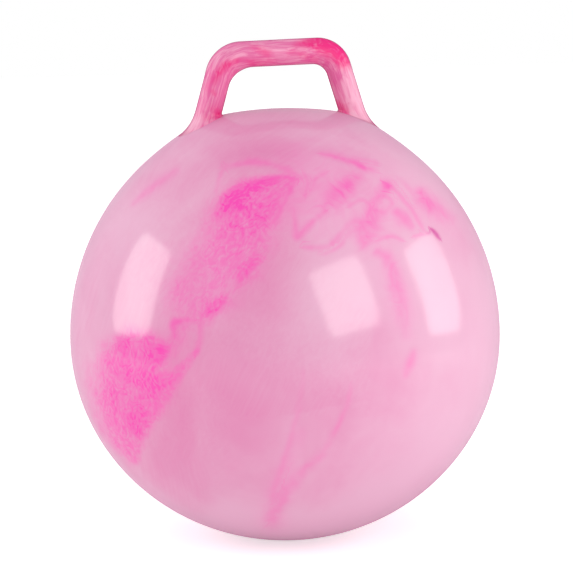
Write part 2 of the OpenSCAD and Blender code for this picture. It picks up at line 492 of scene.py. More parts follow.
def makeEggTree():
    tree, given, result = newTree("blownEgg", "GeometryNodeTree", [
        ("Grid Lines", "NodeSocketInt"), ("Girth Radius", "NodeSocketFloat"),
        ("Girth Height", "NodeSocketFloat"), ("Crown Rise", "NodeSocketFloat"),
        ("Base Drop", "NodeSocketFloat"), ("Foot Reach", "NodeSocketFloat"),
        ("Mound Height", "NodeSocketFloat"), ("Mound Spread", "NodeSocketFloat"),
        ("Vinyl", "NodeSocketMaterial")],
        [("Geometry", "NodeSocketGeometry")])
    cube = addNode(tree, "GeometryNodeMeshCube")
    cube.inputs["Size"].default_value = (2, 2, 2)
    lines = sums(tree, "ADD", given["Grid Lines"], 1)
    for axis in "XYZ":
        feed(tree, cube.inputs["Vertices " + axis], lines)
    corner = addNode(tree, "GeometryNodeInputPosition").outputs[0]
    # equal angles between the grid lines
    even = vectorSums(tree, "TANGENT", scaled(tree, corner, math.pi / 4))
    unit = addNode(tree, "ShaderNodeSeparateXYZ")
    feed(tree, unit.inputs[0], vectorSums(tree, "NORMALIZE", even))
    x, y = (sums(tree, "MULTIPLY", unit.outputs[i], given["Girth Radius"]) for i in (0, 1))
    upper = sums(tree, "GREATER_THAN", unit.outputs[2], 0)
    extra = sums(tree, "SUBTRACT", given["Crown Rise"], given["Base Drop"])
    rise = sums(tree, "MULTIPLY_ADD", extra, upper, given["Base Drop"])
    z = sums(tree, "MULTIPLY_ADD", unit.outputs[2], rise, given["Girth Height"])
    sideways = sums(tree, "SUBTRACT", sums(tree, "ABSOLUTE", x), given["Foot Reach"])
    gap = sums(tree, "ADD", sums(tree, "MULTIPLY", sideways, sideways), sums(tree, "MULTIPLY", y, y))
    spread = sums(tree, "MULTIPLY", given["Mound Spread"], given["Mound Spread"])
    fade = sums(tree, "EXPONENT", sums(tree, "MULTIPLY", sums(tree, "DIVIDE", gap, spread), -1))
    swell = sums(tree, "MULTIPLY", sums(tree, "MULTIPLY", fade, upper), given["Mound Height"])
    place = addNode(tree, "ShaderNodeCombineXYZ")
    for socket, value in zip(place.inputs, (x, y, sums(tree, "MAXIMUM", sums(tree, "ADD", z, swell), 0))):
        feed(tree, socket, value)
    move = addNode(tree, "GeometryNodeSetPosition")
    feed(tree, move.inputs["Geometry"], cube.outputs["Mesh"])
    feed(tree, move.inputs["Position"], place.outputs[0])
    smooth = addNode(tree, "GeometryNodeSetShadeSmooth")
    feed(tree, smooth.inputs[0], move.outputs[0])
    real = addNode(tree, "GeometryNodeRealizeInstances")
    feed(tree, real.inputs[0], smooth.outputs[0])
    dress = addNode(tree, "GeometryNodeSetMaterial")
    feed(tree, dress.inputs["Geometry"], real.outputs[0])
    feed(tree, dress.inputs["Material"], given["Vinyl"])
    feed(tree, result["Geometry"], dress.outputs[0])
    return tree


# Marbling on the front, placed by pixels of the photograph, and made up in its manner on the back; a pale
# stroke along the bottom edge is partly painted light
frontStains = [
    [(284, 186, 11, 0.5), (263, 199, 26, 0.62), (246, 217, 34, 0.66), (234, 242, 35, 0.62),
     (216, 268, 35, 0.5),
     (198, 294, 34, 0.42), (187, 314, 26, 0.34), (179, 330, 17, 0.2)],
    [(222, 212, 6, 0.3), (231, 200, 9, 0.6), (245, 190, 9, 0.66), (260, 184, 7, 0.55),
     (276, 180, 4, 0.4)],
    [(230, 206, 9, 0.4), (245, 208, 11, 0.35), (254, 222, 9, 0.2)],
    [(262, 257, 4, 0.25), (253, 263, 5, 0.35), (245, 270, 6, 0.4), (240, 281, 5, 0.2)],
    [(224, 299, 4, 0.25), (214, 309, 6, 0.45), (204, 317, 5, 0.25)],
    [(134, 360, 30, 0.5), (128, 380, 38, 0.62), (125, 402, 34, 0.64), (124, 425, 28, 0.62),
     (130, 446, 16, 0.56),
     (133, 458, 8, 0.45)],
    [(114, 352, 16, 0.35), (130, 347, 15, 0.45), (147, 347, 14, 0.45), (160, 351, 10, 0.4)],
    [(162, 352, 9, 0.2), (164, 366, 9, 0.22), (158, 380, 10, 0.2)],
    [(197, 351, 3, 0.35), (188, 362, 5, 0.4), (176, 376, 8, 0.5), (162, 388, 12, 0.45),
     (149, 407, 13, 0.35),
     (141, 427, 10, 0.3)],
    [(158, 352, 6, 0.3), (154, 362, 7, 0.4), (146, 370, 7, 0.35)],
    [(122, 366, 9, 0.35), (136, 378, 10, 0.4), (150, 384, 9, 0.4)],
    [(184, 334, 15, 0.12), (180, 352, 14, 0.16)],
]
frontWisps = [
    [(300, 166, 22, 0.2), (335, 174, 28, 0.2), (376, 196, 32, 0.14), (418, 206, 28, 0.12),
     (448, 218, 18, 0.1)],
    [(289, 212, 18, 0.25), (318, 226, 20, 0.15), (366, 234, 24, 0.13), (391, 272, 16, 0.08),
     (402, 315, 13, 0.1)],
    [(284, 198, 12, 0.1), (302, 192, 16, 0.2), (326, 190, 12, 0.15)],
    [(357, 177, 5, 0.3), (346, 187, 8, 0.6), (335, 196, 9, 0.62), (323, 206, 8, 0.3)],
    [(388, 185, 5, 0.45), (378, 198, 6, 0.25), (373, 215, 8, 0.3), (368, 231, 9, 0.4),
     (363, 245, 5, 0.25)],
    [(397, 212, 4, 0.35), (404, 219, 5, 0.5), (410, 226, 4, 0.3)],
    [(421, 193, 5, 0.42), (428, 203, 7, 0.48), (438, 211, 7, 0.36), (451, 219, 5, 0.18)],
    [(378, 253, 4, 0.3), (387, 257, 5, 0.4), (391, 268, 6, 0.34), (394, 282, 7, 0.32),
     (400, 298, 7, 0.28),
     (404, 314, 6, 0.18), (407, 335, 5, 0.1)],
    [(414, 352, 3, 0.2), (410, 364, 4, 0.3), (405, 376, 3, 0.15)],
    [(284, 490, 9, 0.15), (272, 520, 12, 0.2)],
    [(300, 432, 6, 0.12), (286, 468, 8, 0.15), (272, 492, 7, 0.12)],
    [(176, 171, 4, 0.12), (150, 189, 6, 0.16), (134, 203, 4, 0.1)],
]
frontTones = [
    [(254, 318, 50, 0.16), (236, 380, 85, 0.32), (232, 430, 80, 0.32), (262, 480, 60, 0.2)],
    [(270, 128, 44, 0.14), (330, 134, 38, 0.06)],
    [(190, 170, 46, 0.16), (230, 160, 40, 0.1)],
    [(226, 168, 14, 0.15), (252, 166, 16, 0.2), (280, 166, 16, 0.18)],
    [(286, 210, 24, 0.22), (274, 250, 26, 0.26), (258, 300, 28, 0.24)],
    [(320, 432, 36, 0.1), (372, 436, 30, 0.12), (420, 384, 34, 0.1)],
    [(350, 382, 50, 0.12), (402, 372, 44, 0.12)],
]
frontPales = [
    [(486, 300, 40, 0.3), (466, 370, 50, 0.2), (440, 430, 60, 0.3), (404, 484, 50, 0.25)],
    [(124, 220, 40, 0.15), (114, 240, 36, 0.1)],
    # along the bottom edge: partly paler pigment, partly painted light that offsets the shade where the
    # ball meets the floor
    [(226, 524, 18, 0.4), (284, 536, 20, 0.6), (344, 526, 20, 0.6), (394, 508, 16, 0.5)],
    [(330, 214, 34, 0.2), (386, 236, 40, 0.3), (432, 206, 34, 0.3)],
    [(330, 310, 40, 0.16), (380, 300, 40, 0.16)],
]
frontInks = [[(432, 230, 6, 0.9), (443, 242, 6, 0.9)]]  # where a thin line is darker
frontLines = [
    [(351, 386, 2, 0.12), (346, 408, 2.2, 0.22), (337, 427, 2.2, 0.26), (327, 445, 2.6, 0.2),
     (317, 458, 3.4, 0.3),
     (301, 472, 4, 0.28), (287, 495, 4.6, 0.26), (272, 517, 5, 0.2)],
    [(303, 372, 2, 0.06), (300, 402, 2.2, 0.12), (292, 436, 2.4, 0.16), (281, 470, 2.6, 0.18),
     (272, 500, 2.8, 0.12)],
    [(322, 154, 2, 0.3), (340, 158, 2.4, 0.45), (352, 162, 2.6, 0.5), (363, 167, 3.4, 0.65),
     (373, 171, 3.4, 0.4)],
    [(354, 158, 1.6, 0.2), (377, 163, 1.8, 0.2)],
    [(294, 214, 2.2, 0.2), (296, 228, 2.6, 0.3), (298, 236, 3.2, 0.4), (312, 222, 2.4, 0.35),
     (325, 212, 2, 0.25)],
    [(305, 247, 2, 0.25), (318, 248, 2.2, 0.35), (330, 244, 2.2, 0.35), (342, 233, 2.2, 0.3),
     (353, 222, 2.4, 0.35),
     (364, 222, 2.6, 0.3)],
    [(324, 254, 2, 0.2), (339, 246, 2, 0.25), (351, 232, 2, 0.25), (362, 227, 2, 0.2)],
    [(384, 183, 2.4, 0.5), (389, 187, 2.4, 0.5)],
    [(400, 180, 2, 0.2), (410, 190, 2, 0.25), (416, 203, 2, 0.15)],
    [(392, 187, 1.8, 0.28), (405, 201, 1.8, 0.28), (417, 217, 1.8, 0.28), (424, 231, 1.8, 0.2)],
    [(372, 200, 1.8, 0.25), (384, 196, 1.8, 0.3), (392, 202, 1.8, 0.3), (386, 212, 1.8, 0.25),
     (376, 210, 1.8, 0.2)],
    [(350, 206, 1.6, 0.2), (362, 200, 1.8, 0.28), (370, 206, 1.8, 0.25), (366, 216, 1.8, 0.2)],
    [(380, 240, 1.8, 0.25), (392, 236, 1.8, 0.3), (402, 240, 1.8, 0.2)],
    [(312, 188, 1.8, 0.22), (316, 178, 1.8, 0.28), (326, 172, 1.8, 0.2)],
    [(306, 196, 1.8, 0.2), (308, 184, 1.8, 0.25), (304, 174, 1.8, 0.2)],
    [(431, 229, 1.2, 0.5), (436, 234, 1.5, 0.9), (440, 239, 1.2, 0.6)],
    [(415, 236, 1.6, 0.25), (428, 233, 1.6, 0.3)],
    [(295, 179, 2.4, 0.7), (284, 178, 2.8, 0.7), (268, 180, 3, 0.6), (252, 186, 3.2, 0.5),
     (238, 195, 3.2, 0.5)],
    [(294, 181, 2, 0.5), (289, 191, 2.4, 0.4), (283, 204, 2.4, 0.4), (276, 217, 2.4, 0.35),
     (267, 226, 2.4, 0.2)],
    [(286, 185, 2, 0.25), (279, 197, 2, 0.3), (272, 209, 2.2, 0.3), (262, 221, 2.4, 0.25)],
    [(193, 320, 2, 0.35), (182, 321, 2.4, 0.55), (174, 324, 2.8, 0.6), (174, 332, 2.4, 0.3)],
    [(201, 322, 2, 0.2), (200, 338, 2.4, 0.25), (196, 352, 2.4, 0.35)],
    [(224, 167, 2.4, 0.2), (240, 163, 2.8, 0.35), (258, 162, 2.8, 0.4), (282, 168, 2.8, 0.4),
     (300, 178, 2.4, 0.25)],
    [(224, 166, 2, 0.15), (220, 178, 2, 0.25), (217, 190, 2, 0.2)],
    [(176, 171, 1.8, 0.1), (150, 189, 2.2, 0.2), (134, 203, 1.8, 0.1)],
]
backStains = [
    [(410, 196, 9, 0.4), (384, 216, 20, 0.6), (352, 246, 27, 0.66), (330, 284, 27, 0.55),
     (322, 326, 20, 0.45),
     (300, 362, 23, 0.6), (272, 392, 21, 0.5), (254, 424, 9, 0.3)],
    [(390, 208, 5, 0.3), (372, 220, 7, 0.45), (352, 236, 7, 0.4), (338, 258, 6, 0.3)],
    [(150, 400, 8, 0.3), (168, 376, 17, 0.5), (176, 344, 13, 0.3)],
]
backWisps = [
    [(160, 190, 20, 0.2), (200, 210, 28, 0.3), (240, 200, 22, 0.2)],
    [(170, 190, 6, 0.3), (196, 204, 9, 0.5), (214, 228, 8, 0.3)],
    [(140, 250, 6, 0.3), (160, 268, 8, 0.45), (168, 296, 7, 0.25)],
    [(396, 330, 8, 0.25), (412, 362, 10, 0.4), (404, 396, 8, 0.25)],
    [(210, 440, 5, 0.25), (232, 462, 8, 0.4), (262, 474, 6, 0.2)],
]
backTones = [[(250, 300, 80, 0.3), (240, 380, 80, 0.35)]]
backInks = [[(226, 380, 6, 0.6), (238, 404, 6, 0.6)]]
backPales = [[(450, 300, 60, 0.3), (430, 420, 60, 0.35)], [(120, 200, 60, 0.25), (110, 300, 50, 0.2)]]
backLines = [
    [(214, 330, 2, 0.3), (224, 372, 2.6, 0.45), (240, 410, 2.6, 0.3)],
    [(236, 176, 2, 0.3), (256, 196, 2.6, 0.4), (262, 222, 2.4, 0.25)],
]


def paintBall(mesh):
    points, normals = meshArrays(mesh)
    stain, along, across, wisp, tone, strength, ink = (np.zeros(len(points)) for _ in range(7))
    off = np.full(len(points), 4.0)
    tone += ball["baseTone"]
    sides = ((False, frontStains, frontWisps, frontTones, frontPales, frontLines, frontInks),
             (True, backStains, backWisps, backTones, backPales, backLines, backInks))
    for halfTurn, stains, wisps, tones, pales, lines, inks in sides:
        pixels, facing = pixelsOf(points, normals, halfTurn)
        shown = smoothStep(0.05, 0.25, facing)
        here = shown > 0
        mask, way, side = paintStrokes(pixels, stains, 3)
        stain += mask * shown
        along[here], across[here] = way[here], side[here]
        wisp += paintStrokes(pixels, wisps, 2)[0] * shown
        # the pale strokes also carry the painted light along the bottom edge
        tone += (paintStrokes(pixels, tones, 2)[0] - paintStrokes(pixels, pales, 2)[0]) * shown
        ink += paintStrokes(pixels, inks, 4)[0] * shown
        offHere, strengthHere = paintLines(pixels, lines)
        off[here], strength[here] = offHere[here], (strengthHere * shown)[here]
    perPixel = view["distance"] / focal
    writeField(mesh, "pigmentMasks", stain, wisp, tone)
    writeField(mesh, "pigmentFlow", along * perPixel, across * perPixel, 0 * along)
    writeField(mesh, "pigmentLines", off, strength, ink)


# The valve's line: out of the plug, where the slide joint runs
valveJoint = next(joint for joint in frame["joints"] if joint["name"] == "plug_pull")
valveOut = Vector(valveJoint["axis"]).normalized()
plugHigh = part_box("valve_plug")[1]
valve = {
    "boreRadius": 0.0045,
    "sleeveRadius": 0.0075,
    "sleeveLength": 0.024,
    "mouthRise": 0.0005,
    "collarRadius": 0.017,
    "collarTop": 0.0019,  # depth of the collar under the skin
    "collarThickness": 0.0014,
    "lipRound": 0.0006,
    "headRadius": 0.009,
    "headThickness": 0.0026,
    "headGap": 0.0001,
    "stemLength": 0.020,
    "stemRadius": 0.00385,
    "tipLength": 0.004,
    "tipRadius": 0.0025,
    "ribCount": 3,
    "ribPitch": 0.004,
    "ribLength": 0.002,
    "ribDepth": 0.0006,
    "dimpleRadius": 0.0055,  # for the thumb, in the head
    "dimpleDepth": 0.001,
    "around": 64,
    "sleeveFinish": {"light": (232, 152, 192), "dark": (214, 126, 172), "haze": 0.4, "bumpDepth": 0.0001},
    "plugFinish": {"light": (246, 243, 244), "dark": (232, 227, 230), "haze": 0.34, "bumpDepth": 0.00008},
}


def findValveSeat():  # where the valve's line crosses the skin, worked back from the plug's box
    lean = math.atan2(valveOut.y, valveOut.z)
    topOfHead = valve["mouthRise"] + valve["headGap"] + valve["headThickness"]
    rimBack = valve["headRadius"] - valve["headThickness"] / 2
    # highest corner of the plug's box: the head's round rim, on its upper side
    rimUp = rimBack * math.sin(lean) + valve["headThickness"] / 2
    middleUp = (topOfHead - valve["headThickness"] / 2) * math.cos(lean)
    height = plugHigh.z - rimUp - middleUp
    rimOut = rimBack * math.cos(lean) + valve["headThickness"] / 2
    middleOut = (topOfHead - valve["headThickness"] / 2) * math.sin(lean)
    return Vector((0, plugHigh.y - rimOut - middleOut, height))


valveSeat = findValveSeat()
valveTurn = Vector((0, 0, 1)).rotation_difference(valveOut).to_matrix().to_4x4()
valveFrame = Matrix.Translation(valveSeat) @ valveTurn
print("valve seat", tuple(round(v, 4) for v in valveSeat))


def lathe(profile, steps):  # turns radius and height pairs round the Z axis, and closes the poles
    mesh = bmesh.new()
    rings = []
    for radius, height in profile:
        if radius < 1e-6:
            rings.append([mesh.verts.new((0, 0, height))])
            continue
        turns = [2 * math.pi * i / steps for i in range(steps)]
        rings.append([mesh.verts.new((radius * math.cos(t), radius * math.sin(t), height)) for t in turns])
    for lower, upper in zip(rings, rings[1:]):
        for i in range(steps):
            corners = [lower[i % len(lower)], lower[(i + 1) % steps % len(lower)],
                       upper[(i + 1) % steps % len(upper)], upper[i % len(upper)]]
            mesh.faces.new(dict.fromkeys(corners))
    bmesh.ops.recalc_face_normals(mesh, faces=mesh.faces)
    for face in mesh.faces:
        face.smooth = True
    return mesh


def meshFrom(name, shape, placed=None):
    mesh = bpy.data.meshes.new(name)
    if placed is not None:
        shape.transform(placed)
    shape.to_mesh(mesh)
    shape.free()
    return mesh


def arc(middle, radius, start, end, steps):  # points of a round edge, in degrees from the radius line
    turns = [math.radians(start + (end - start) * i / steps) for i in range(steps + 1)]
    return [(middle[0] + radius * math.cos(t), middle[1] + radius * math.sin(t)) for t in turns]


def makeBall():
    vinyl = vinylMaterial("marbledVinyl", ball["finish"])
    piece = newPiece("ballSkin", bpy.data.meshes.new("ballSkin"))
    growNodes(piece, makeEggTree(), GridLines=ball["gridLines"], GirthRadius=girthRadius,
              GirthHeight=ball["girthHeight"], CrownRise=ball["crownRise"], BaseDrop=ball["baseDrop"],
              FootReach=footReach, MoundHeight=ball["moundHeight"], MoundSpread=ball["moundSpread"],
              Vinyl=vinyl)
    reach, radius = valve["sleeveLength"], valve["sleeveRadius"]
    drill = lathe([(0, -reach), (radius, -reach), (radius, reach), (0, reach)], valve["around"])
    tool = newPiece("valveDrill", meshFrom("valveDrill", drill, valveFrame))
    tool.data.materials.append(vinyl)
    cut = piece.modifiers.new("valveHole", "BOOLEAN")
    cut.object = tool
    cut.solver = "EXACT"
    plainMesh(piece)
    bpy.data.objects.remove(tool)
    piece.data.materials.clear()  # the cut leaves an empty slot beside the vinyl
    piece.data.materials.append(vinyl)
    piece.data.polygons.foreach_set("material_index", np.zeros(len(piece.data.polygons), np.int32))
    paintBall(piece.data)
    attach(piece, "ball")
    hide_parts("ball_shell")
    print("ball made:", len(piece.data.polygons), "faces")


makeBall()


# The handle: one bent tube, whose feet spread onto the swollen skin

handle["finish"] = {
    "pale": (255, 187, 215),
    "rose": (236, 106, 169),
    "hot": (246, 28, 132),
    "ink": (172, 30, 100),
    # edge is the colour of the painted shade towards the silhouette, deep on this tube; edgeStart and
    # edgeDepth say where it starts and how deep it goes
    "edge": (166, 62, 112),
    "edgeStart": 0.5,
    "edgeDepth": 0.85,
    "edgeFade": 4,
    "stretch": (52, 380, 380),
    "wander": 3,
    "streaks": 0.95,
    "threads": 0.75,
    "haze": 0.4,
    "hazeSpread": 0.1,
    "bumpDepth": 0.0005,
    "ior": 1.45,
}
gripStains = [
    [(294, 46, 3, 0.2), (307, 43, 5, 0.65), (320, 43, 8, 1), (333, 49, 9, 1), (344, 60, 7, 0.9)],
    [(215, 84, 3, 0.35), (219, 73, 4, 0.6), (226, 65, 4, 0.55), (236, 61, 3, 0.4)],
    [(252, 47, 3, 0.25), (262, 50, 4, 0.4), (268, 53, 4, 0.4)],
    [(240, 60, 3, 0.25), (256, 63, 4, 0.35), (272, 62, 4, 0.3)],
    [(290, 52, 3, 0.3), (302, 55, 3, 0.35), (316, 60, 3, 0.25)],
    [(213, 91, 2.5, 0.5), (214, 94, 2.5, 0.5)],
    [(206, 96, 2, 0.15), (208, 86, 2.5, 0.3), (213, 78, 2.5, 0.2)],
    [(199, 111, 6, 0.12), (209, 111, 8, 0.22), (219, 113, 5, 0.35)],
    [(338, 104, 4, 0.4), (343, 111, 5, 0.45), (347, 118, 4, 0.3)],
    [(205, 119, 2.5, 0.2), (212, 117, 2.5, 0.35), (219, 115, 2.5, 0.45)],
]
gripPales = [
    [(340, 67, 6, 0.5), (350, 70, 9, 0.85), (355, 92, 11, 0.95), (360, 112, 12, 0.95),
     (370, 124, 13, 0.9)],
    [(209, 70, 5, 0.3), (219, 56, 6, 0.3), (238, 48, 5, 0.25)],
    [(277, 55, 5, 0.05), (300, 56, 5, 0.15)],
    [(204, 84, 6, 0.4), (203, 100, 7, 0.45), (206, 112, 7, 0.3)],
    [(180, 133, 10, 1), (191, 126, 9, 1), (202, 120, 6, 0.7)],
]


def handleRings():
    radius, steps, sideways = handle["gripRadius"], handle["around"], Vector((0, 1, 0))
    turns = [2 * math.pi * i / steps for i in range(steps)]
    bend = math.radians(90 - handle["legLean"])
    run = handle["shoulderRadius"] * math.tan(bend / 2)
    barHalf = handle["legSpan"] / 2 - run
    legTop = Vector((handle["legSpan"] / 2, 0, handle["barHeight"])) + legDown * run
    bendMiddle = Vector((barHalf, 0, handle["barHeight"] - handle["shoulderRadius"]))
    barLength, bendLength = barHalf, handle["shoulderRadius"] * bend
    rings = []  # of the right half, from the middle of the bar down: points, and the way along

    def ringAt(middle, outward, way):
        ring = [middle + outward * radius * math.cos(t) + sideways * radius * math.sin(t) for t in turns]
        rings.append((ring, way))

    for i in range(handle["barRings"] // 2):
        share = i / (handle["barRings"] // 2)
        ringAt(Vector((barHalf * share, 0, handle["barHeight"])), Vector((0, 0, 1)), barLength * share)
    for i in range(handle["bendRings"]):
        share = i / handle["bendRings"]
        outward = Vector((math.sin(bend * share), 0, math.cos(bend * share)))
        ringAt(bendMiddle + outward * handle["shoulderRadius"], outward, barLength + bendLength * share)
    starts, corners, edges = [], [], []
    for t in turns:
        wall = legTop + legOut * radius * math.cos(t) + sideways * radius * math.sin(t)
        low, high = 0.0, 0.12
        for _ in range(40):
            middle = (low + high) / 2
            spot = wall + legDown * middle
            low, high = (middle, high) if spot.z > skinHeight(spot.x, spot.y) else (low, middle)
        outer = (0.5 + 0.5 * math.cos(t)) ** 1.4  # 1 on the loop's outer side, 0 on its inner
        fillet = handle["filletInside"] + (handle["filletOutside"] - handle["filletInside"]) * outer
        corner = wall + legDown * low
        spread = legOut * math.cos(t) + sideways * math.sin(t)
        flat = Vector((spread.x, spread.y, 0)).normalized() * fillet
        edge = Vector((corner.x + flat.x, corner.y + flat.y, 0))
        edge.z = skinHeight(edge.x, edge.y) - 0.00006
        starts.append((wall, wall + legDown * (low - 1.15 * fillet)))
        corners.append(corner)
        edges.append(edge)
    way = barLength + bendLength
    legLength = sum((low - high).length for high, low in starts) / steps
    for i in range(handle["legRings"] + 1):
        share = i / handle["legRings"]
        rings.append(([high.lerp(low, share) for high, low in starts], way + legLength * share))
    way += legLength
    for i in range(1, handle["filletRings"] + 1):
        share = i / handle["filletRings"]
        ring = []
        for (high, low), corner, edge in zip(starts, corners, edges):
            ring.append(low * (1 - share) ** 2 + corner * 2 * share * (1 - share) + edge * share**2)
        rings.append((ring, way + 0.015 * share))
    under = sum(corners, Vector()) / steps + legDown * radius * 0.3
    rings.append(([edge.lerp(under, 0.5) + Vector((0, 0, -0.003)) for edge in edges], way + 0.02))
    return rings, under, turns, barLength


def innerFill(way, barLength, bend):  # how much fuller than a plain tube the inner side of a shoulder is
    plain = handle["shoulderRadius"] - handle["gripRadius"]
    fuller = handle["innerRadius"][1 if way > 0 else -1]
    turn = abs((abs(way) - barLength) / handle["shoulderRadius"] - bend / 2)
    if turn > bend / 2:  # on the straight parts beside the bend
        past = (turn - bend / 2) * handle["shoulderRadius"]
        reach = max((fuller - plain) * math.tan(bend / 2) - past, 0)
        return fuller - math.sqrt(fuller**2 - reach**2)
    shift = (fuller - plain) / math.cos(bend / 2)
    return plain + shift * math.cos(turn) - math.sqrt(fuller**2 - (shift * math.sin(turn)) ** 2)


def fillShoulders(rings, turns, barLength):
    bend = math.radians(90 - handle["legLean"])
    filled = []
    for ring, way in rings:
        angle = min(max((abs(way) - barLength) / handle["shoulderRadius"], 0), bend)
        inward = Vector((-math.copysign(math.sin(angle), way), 0, -math.cos(angle)))
        depth = innerFill(way, barLength, bend)
        moved = [p + inward * depth * max(-math.cos(t), 0) ** 1.5 for p, t in zip(ring, turns)]
        filled.append((moved, way))
    return filled


def setSoftly(point):  # the soft bar has set a little off true, more the higher above the feet
    crown = ball["girthHeight"] + ball["crownRise"]
    lift = min(max((point.z - crown) / (handle["barHeight"] - crown), 0), 1)
    lift = lift * lift * (3 - 2 * lift)
    return Vector((point.x + handle["drift"] * lift, point.y, point.z + handle["tilt"] * point.x * lift))


def makeHandle():
    rings, under, turns, barLength = handleRings()
    mirrored = [([Vector((-p.x, p.y, p.z)) for p in ring], -way) for ring, way in rings[1:]]
    whole = fillShoulders(mirrored[::-1] + rings, turns, barLength)
    shape = bmesh.new()
    made = [[shape.verts.new(setSoftly(p)) for p in ring] for ring, way in whole]
    for lower, upper in zip(made, made[1:]):
        for i in range(len(turns)):
            shape.faces.new((lower[i - 1], lower[i], upper[i], upper[i - 1]))
    for ring, side in ((made[0], -1), (made[-1], 1)):
        centre = shape.verts.new((under.x * side, under.y, under.z))
        for i in range(len(turns)):
            shape.faces.new((ring[i - 1], ring[i], centre))
    bmesh.ops.recalc_face_normals(shape, faces=shape.faces)
    for face in shape.faces:
        face.smooth = True
    piece = newPiece("gripLoop", meshFrom("gripLoop", shape))
    piece.data.materials.append(vinylMaterial("streakedVinyl", handle["finish"]))
    ways = np.array([way for ring, way in whole for _ in ring] + [whole[0][1], whole[-1][1]])
    rounds = np.array([t for _ in whole for t in turns] + [0, 0])
    paintHandle(piece.data, ways, rounds)
    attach(piece, "ball")
    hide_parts("handle")
    print("handle made:", len(piece.data.polygons), "faces")


def paintHandle(mesh, ways, rounds):
    points, normals = meshArrays(mesh)
    pixels, facing = pixelsOf(points, normals)
    shown = smoothStep(0.0, 0.25, facing)
    stain = np.clip(paintStrokes(pixels, gripStains, 2)[0] * shown + handle["baseStain"], 0, 1)
    tone = handle["baseTone"] - handle["paleDepth"] * paintStrokes(pixels, gripPales, 2)[0] * shown
    blank = np.zeros(len(points))
    radius = handle["gripRadius"]
    writeField(mesh, "pigmentMasks", stain, blank, tone)
    writeField(mesh, "pigmentFlow", ways, radius * np.cos(rounds), radius * np.sin(rounds))
    writeField(mesh, "pigmentLines", blank + 3, blank, blank)


makeHandle()


# The valve: a soft sleeve with a rounded mouth, and a ribbed plug

def softPlastic(name, light, dark, haze, bumpDepth):
    material, tree, shader = newMaterial(name)
    point = addNode(tree, "ShaderNodeTexCoord").outputs["Object"]
    cloud = noise(tree, point, 120, 3, 0.4).outputs["Fac"]
    shade = ramp(tree, cloud, 0.25, 0.75)
    feed(tree, shader.inputs["Base Color"], mixColour(tree, shade, colour(*dark), colour(*light)))
    finishSkin(tree, shader, point, haze, 0.1, bumpDepth)
    shader.inputs["IOR"].default_value = 1.48
    return material


def makeSleeve():
    lip, bore, wall = valve["lipRound"], valve["boreRadius"], valve["sleeveRadius"]
    collarLow = -valve["collarTop"] - valve["collarThickness"]
    edge = valve["collarThickness"] / 2
    profile = [(bore, -valve["sleeveLength"])]
    profile += arc((bore + lip, valve["mouthRise"] - lip), lip, 180, 90, 6)
    profile += arc((wall - lip, valve["mouthRise"] - lip), lip, 90, 0, 6)
    profile += [(wall, -valve["collarTop"])]
    profile += arc((valve["collarRadius"] - edge, -valve["collarTop"] - edge), edge, 90, -90, 8)
    profile += [(wall, collarLow), (wall, -valve["sleeveLength"]), (bore, -valve["sleeveLength"])]
    shape = lathe(profile, valve["around"])
    bmesh.ops.remove_doubles(shape, verts=shape.verts, dist=1e-6)
    bmesh.ops.recalc_face_normals(shape, faces=shape.faces)
    piece = newPiece("valveSleeve", meshFrom("valveSleeve", shape, valveFrame))
    piece.data.materials.append(softPlastic("sleeveVinyl", **valve["sleeveFinish"]))
    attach(piece, "ball")
    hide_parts("valve_sleeve")


def makeRibTree():
    tree, given, result = newTree("sealingRibs", "GeometryNodeTree", [
        ("Plug", "NodeSocketGeometry"), ("Rib", "NodeSocketObject"), ("Rib Count", "NodeSocketInt"),
        ("First Rib", "NodeSocketVector"), ("Rib Step", "NodeSocketVector"),
        ("Plastic", "NodeSocketMaterial")],
        [("Geometry", "NodeSocketGeometry")])
    row = addNode(tree, "GeometryNodeMeshLine")
    feed(tree, row.inputs["Count"], given["Rib Count"])
    feed(tree, row.inputs["Start Location"], given["First Rib"])
    feed(tree, row.inputs["Offset"], given["Rib Step"])
    rib = addNode(tree, "GeometryNodeObjectInfo")
    feed(tree, rib.inputs["Object"], given["Rib"])
    copies = addNode(tree, "GeometryNodeInstanceOnPoints")
    feed(tree, copies.inputs["Points"], row.outputs["Mesh"])
    feed(tree, copies.inputs["Instance"], rib.outputs["Geometry"])
    join = addNode(tree, "GeometryNodeJoinGeometry")
    for geometry in (given["Plug"], copies.outputs["Instances"]):
        tree.links.new(geometry, join.inputs[0])
    real = addNode(tree, "GeometryNodeRealizeInstances")
    feed(tree, real.inputs[0], join.outputs[0])
    dress = addNode(tree, "GeometryNodeSetMaterial")
    feed(tree, dress.inputs["Geometry"], real.outputs[0])
    feed(tree, dress.inputs["Material"], given["Plastic"])
    feed(tree, result["Geometry"], dress.outputs[0])
    return tree


